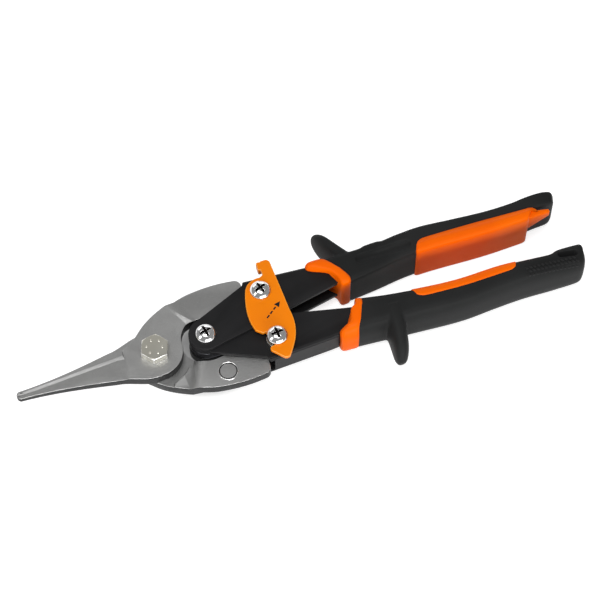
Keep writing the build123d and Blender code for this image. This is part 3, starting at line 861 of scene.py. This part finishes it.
print("border at 14 mm, x 140:", round(math.degrees(border_angle(upper_grip, 140, 14.0)), 1), "degrees")

# %% [markdown]
# A panel is a thick sheet: a top surface whose rim rolls down into the black, and an under surface
# inside the cover. Both come from one grid of places, so the sheet closes by itself.

# %% Panel on a grip
panel_along = 110
panel_across = 72
rim_sink = 0.3
grip_middle = 130


def panel_grid(grip, border, left, right):
    """Rows of (x, angle) round the inner side, from the front border to the back one."""
    rows = []
    middle_x = (left(border(grip_middle)) + right(border(grip_middle))) / 2
    for j in range(panel_across + 1):
        share = j / panel_across
        _, y, z = grip.point(middle_x, wrap_angle(grip, middle_x, border(middle_x), share))
        x0, x1 = left(abs(y)), right(abs(y) if z > 0 else 0.0)
        row = []
        for i in range(panel_along + 1):
            x = x0 + (x1 - x0) * i / panel_along
            row.append((x, wrap_angle(grip, x, border(x), share)))
        rows.append(row)
    return rows


def panel(name, grip, border, left, right, proud, body, rim=1.6, depth=0.9):
    """Closed panel round the inner side: border(x) bounds it on the front and the back face, and
    left(y) and right(y) give its ends at a distance y from the axis; behind, its right end is straight."""
    rows = panel_grid(grip, border, left, right)
    middle = [grip.point(*row[panel_along // 2]) for row in rows]
    width = [0.0]
    for here, there in zip(middle, middle[1:]):
        width.append(width[-1] + math.dist(here, there))
    rings = []
    for i in range(panel_along + 1):
        top, under = [], []
        for row, come in zip(rows, width):
            x, angle = row[i]
            edge_x = min(i, panel_along - i) / panel_along * (row[-1][0] - row[0][0])
            near = min(edge_x, come, width[-1] - come) / rim
            height = proud * math.sqrt(max(0.0, 1 - (1 - min(near, 1.0)) ** 2))
            top.append(grip.point(x, angle, height - (rim_sink if near <= 0.001 else 0.0)))
            under.append(grip.point(x, angle, -depth))
        rings.append(top + under[::-1])
    return mesh_piece(name, loft_mesh(name, rings), body)


print("panel grid", panel_along, "by", panel_across)

# %% [markdown]
# The upper panel is the large one. Its front corner is rounded, and it runs straight on where the
# cover steps outwards, so its section is the cover's without that step.

# %% Upper panel
def upper_border(x):
    """Top edge of the upper panel, with its rounded corners."""
    front_drop = 3.4 * max(0.0, (124.5 - x) / 6.0) ** 2.2
    back_drop = 2.0 * max(0.0, (x - 171.5) / 3.0) ** 2.2
    return track(x, [(110, 13.6), (126, 14.0), (150, 14.2), (175, 13.2)]) - front_drop - back_drop


upper_core = Grip(1, [point for point in upper_grip.inner if point[0] <= 166] + [(176, 8.7)],
                  upper_grip.outer, upper_grip.depth, upper_grip.square_inner, upper_grip.square_outer)
upper_panel = panel("upper_grip_core_panel", upper_core, upper_border,
                    lambda y: 118.4 + 0.45 * max(0.0, y - 8.0), lambda y: 170.6 + 0.75 * max(0.0, y - 8.0),
                    0.85, "upper_handle", rim=2.6, depth=3.6)
print("upper panel faces", len(upper_panel.data.polygons))

# %% [markdown]
# The lower handle shows only a long narrow strip, drawn in towards both ends.

# %% Lower panel
def lower_border(x):
    """Lower edge of the strip."""
    ends = 2.6 * max(0.0, (115.5 - x) / 5.0) ** 2 + 2.6 * max(0.0, (x - 152.5) / 5.0) ** 2
    return track(x, [(105, 13.4), (134, 14.5), (160, 13.6)]) - ends


lower_panel = panel("lower_grip_core_panel", lower_grip, lower_border,
                    lambda y: 110.2 + 0.3 * max(0.0, y - 10.0), lambda y: 157.4 - 0.3 * max(0.0, y - 10.0),
                    0.3, "lower_handle", rim=0.9)


print("lower panel faces", len(lower_panel.data.polygons))

# %% [markdown]
# At the mouth of each grip the core ends in a collar. Its edges aren't square to the handle: they
# sweep forwards on the outer side, so both are given by the distance from the tool's axis.

# %% Collars
collar_steps = 20
collar_around = 144
collar_depth = 1.6
mouth_x = 83


def collar(name, grip, front_edge, back_edge, proud, body):
    """Ring round the mouth of a grip, between two edges of (distance from the axis, x) points."""
    rings = []
    for i in range(collar_steps + 1):
        u = i / collar_steps
        bulge = math.sqrt(max(0.0, 1 - (2 * u - 1) ** 4))
        ring = []
        for j in range(collar_around):
            angle = 2 * math.pi * j / collar_around
            y = abs(grip.point(mouth_x, angle)[1])
            front, back = track(y, front_edge), track(y, back_edge)
            ring.append(grip.point(front + (back - front) * u, angle,
                                   -collar_depth + (collar_depth + proud) * bulge))
        rings.append(ring)
    return mesh_piece(name, loft_mesh(name, rings), body)


upper_collar = collar(
    "upper_grip_core_collar", upper_grip,
    [(3, 83.0), (6.2, 82.7), (9.5, 81.8), (11.8, 79.6), (13.8, 75.4), (16, 72.2), (19, 71.4)],
    [(3, 88.3), (5.6, 88.0), (11.6, 85.2), (16.1, 82.1), (19, 79.6)], 0.7, "upper_handle")
lower_collar = collar(
    "lower_grip_core_collar", lower_grip,
    [(3, 86.2), (7.2, 85.4), (8.6, 83.2), (14.6, 80.9), (16.4, 78.2), (18.0, 75.9), (20.5, 75.4)],
    [(3, 90.0), (7.8, 88.8), (19.4, 84.5), (20.5, 84.2)], 0.45, "lower_handle")
core_pieces = (upper_panel, lower_panel, upper_collar, lower_collar)
for piece in core_pieces:
    paint(piece.data, orange_grip)
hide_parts("upper_grip_core")
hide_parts("lower_grip_core")
print("orange pieces", len(core_pieces))

# %% [markdown]
# Beyond the upper panel the hard core runs out in a pointed wedge, beside the step in the cover. It
# is a tapered block with rounded edges.

# %% Tail wedge
wedge_round = 0.5 * MM
wedge_mesh = bmesh.new()
base = [(166.5, 8.4, 9.0), (166.5, 13.0, 9.0), (166.5, 13.0, -2.6), (166.5, 8.4, -2.6)]
tip = [(180.2, 8.8, 8.9), (180.2, 10.4, 8.9), (180.2, 10.4, 5.6), (180.2, 8.8, 5.6)]
near_end = [wedge_mesh.verts.new(place(*corner_point)) for corner_point in base]
far_end = [wedge_mesh.verts.new(place(*corner_point)) for corner_point in tip]
wedge_mesh.faces.new(near_end)
wedge_mesh.faces.new(far_end[::-1])
for k in range(4):
    n = (k + 1) % 4
    wedge_mesh.faces.new((near_end[n], near_end[k], far_end[k], far_end[n]))
bmesh.ops.recalc_face_normals(wedge_mesh, faces=wedge_mesh.faces)
bmesh.ops.bevel(wedge_mesh, geom=wedge_mesh.edges[:], offset=wedge_round, segments=3, affect="EDGES",
                profile=0.5)
tail_mesh = bpy.data.meshes.new("tail_wedge")
wedge_mesh.to_mesh(tail_mesh)
wedge_mesh.free()
smooth(tail_mesh)
paint(tail_mesh, orange_grip)
tail_wedge = mesh_piece("upper_grip_core_wedge", tail_mesh, "upper_handle")
print("wedge faces", len(tail_mesh.polygons))

# %% [markdown]
# The return spring is round wire: two and a half turns about the handle pivot and two legs.

# %% Return spring
coil_turns = 2.5
coil_steps = 60
coil_radius = 6.2
coil_half_height = 1.75
pivot_x = 22.2


def wire_mesh(name, points, radius, roundness, closed):
    """Mesh of round wire through points in millimetres."""
    curve = bpy.data.curves.new(name, "CURVE")
    curve.dimensions = "3D"
    curve.bevel_depth = radius * MM
    curve.bevel_resolution = roundness
    line = curve.splines.new("POLY")
    line.points.add(len(points) - 1)
    for target, source in zip(line.points, points):
        target.co = (*place(*source), 1.0)
    line.use_cyclic_u = closed
    holder = bpy.data.objects.new(name, curve)
    bpy.context.scene.collection.objects.link(holder)
    mesh = evaluated_mesh(holder)
    bpy.data.objects.remove(holder)
    smooth(mesh)
    return mesh


leg = [(39.0, 5.6), (34.0, 5.8), (28.0, 6.05)]
wire_points = [(x, -y, -coil_half_height) for x, y in leg]
for i in range(coil_steps + 1):
    t = i / coil_steps
    angle = -math.pi / 2 - 2 * math.pi * coil_turns * t
    wire_points.append((pivot_x + coil_radius * math.cos(angle), coil_radius * math.sin(angle),
                        coil_half_height * (2 * t - 1)))
wire_points += [(x, y, coil_half_height) for x, y in reversed(leg)]
spring = mesh_piece("return_spring", wire_mesh("spring_wire", wire_points, 0.86, 4, False), None)
paint(spring.data, spring_steel)
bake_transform(spring)
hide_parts("torsion_spring")
print("spring vertices", len(spring.data.vertices))


# %% [markdown]
# Small marks finish the tool, all of them thin pieces of real geometry. The lower tail carries a plain
# stamped ring: a raised ring in the painted edge highlight, and inside it a dark ring of painted shade
# where the groove lies.

# %% Stamped ring
def circle_points(centre, z, radius, count=48):
    """Points round a level circle."""
    angles = [2 * math.pi * k / count for k in range(count)]
    return [(centre[0] + radius * math.cos(a), centre[1] + radius * math.sin(a), z) for a in angles]


stamp_centre = (26.5, -17.2)
# The outer ring carries a painted highlight, the inner one painted shade.
for name, z, radius, wire_radius, material in (
        ("tail_stamp_highlight_ring", 2.38, 4.1, 0.30, painted_steel_highlight), ("tail_stamp_shade_ring", 2.33, 3.6, 0.24, ink_and_painted_shade)):
    mesh = wire_mesh(name, circle_points(stamp_centre, z, radius), wire_radius, 3, True)
    paint(mesh, material)
    mesh_piece(name, mesh, "rear_blade")
print("stamped ring at", stamp_centre)

# %% [markdown]
# The bolt head carries six raised dots, flattened balls set on a circle.

# %% Dots on the bolt head
dot_count = 6
dot_circle = 3.3
dot_radius = 0.52
dot_sink = 0.02
dots = bmesh.new()
head_top = (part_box("pivot_bolt")[1][2] - pivot.z) / MM
for k in range(dot_count):
    angle = math.radians(360 / dot_count * k + 40)
    centre = place(dot_circle * math.cos(angle), dot_circle * math.sin(angle), head_top - dot_sink)
    bmesh.ops.create_uvsphere(dots, u_segments=16, v_segments=8, radius=dot_radius * MM,
                              matrix=Matrix.Translation(centre) @ Matrix.Diagonal((1, 1, 0.42, 1)))
dots_mesh = bpy.data.meshes.new("bolt_head_dots")
dots.to_mesh(dots_mesh)
dots.free()
smooth(dots_mesh)
paint(dots_mesh, zinc)
mesh_piece("bolt_head_dots", dots_mesh, "rear_blade")
print("dots", dot_count)

# %% [markdown]
# The latch carries a plain printed arrow with a dashed shaft. Ink has hardly any thickness, so each
# shape is a sheet a few hundredths of a millimetre proud of the paint.

# %% Arrow on the latch
latch_top = (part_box("latch_plate")[1][2] - pivot.z) / MM
mark_middle = (52.2, 0.7)
mark_turn = math.radians(38)
mark_sink = 0.05
mark_proud = 0.03
dash_length = 1.6
dash_half_width = 0.32
mark = bmesh.new()


def flat_mark(outline):
    """Thin printed shape on the latch from an outline drawn along the arrow."""
    corners = []
    for u, v in outline:
        corners.append((mark_middle[0] + u * math.cos(mark_turn) - v * math.sin(mark_turn),
                        mark_middle[1] + u * math.sin(mark_turn) + v * math.cos(mark_turn)))
    low = [mark.verts.new(place(x, y, latch_top - mark_sink)) for x, y in corners]
    high = [mark.verts.new(place(x, y, latch_top + mark_proud)) for x, y in corners]
    mark.faces.new(high)
    mark.faces.new(low[::-1])
    for k in range(len(corners)):
        n = (k + 1) % len(corners)
        mark.faces.new((low[k], low[n], high[n], high[k]))


for start in (-4.6, -2.2, 0.2):
    flat_mark([(start, -dash_half_width), (start + dash_length, -dash_half_width),
               (start + dash_length, dash_half_width), (start, dash_half_width)])
flat_mark([(2.4, -1.3), (5.0, 0.0), (2.4, 1.3)])
bmesh.ops.recalc_face_normals(mark, faces=mark.faces)
mark_mesh = bpy.data.meshes.new("latch_mark")
mark.to_mesh(mark_mesh)
mark.free()
paint(mark_mesh, ink_and_painted_shade)
mesh_piece("latch_mark", mark_mesh, "latch")
print("arrow faces", len(mark_mesh.polygons))

# %% [markdown]
# Last come the rows of small pebbles near the end of the lower grip. They sit on the section
# function, so they follow the surface, and every second row is shifted by half a step.

# %% Pebbles
pebble_rows = 3
pebbles_in_row = 13
first_pebble_x = 160.0
pebble_step = 1.75
row_shift = 0.85
pebbles = bmesh.new()
for row in range(pebble_rows):
    for k in range(pebbles_in_row):
        x = first_pebble_x + pebble_step * k + row_shift * (row % 2)
        out = 15.0 + 1.6 * row + 0.06 * (x - first_pebble_x)
        on_skin = lower_grip.point(x, border_angle(lower_grip, x, out), -0.1)
        matrix = Matrix.Translation(place(*on_skin)) @ Matrix.Rotation(math.radians(-35), 4, "Z")
        bmesh.ops.create_uvsphere(pebbles, u_segments=12, v_segments=6, radius=MM,
                                  matrix=matrix @ Matrix.Diagonal((0.88, 0.5, 0.6, 1)))
pebble_mesh = bpy.data.meshes.new("grip_pebbles")
pebbles.to_mesh(pebble_mesh)
pebbles.free()
smooth(pebble_mesh)
paint(pebble_mesh, black_grip)
mesh_piece("grip_pebbles", pebble_mesh, "lower_handle")
print("pebbles", pebble_rows * pebbles_in_row)
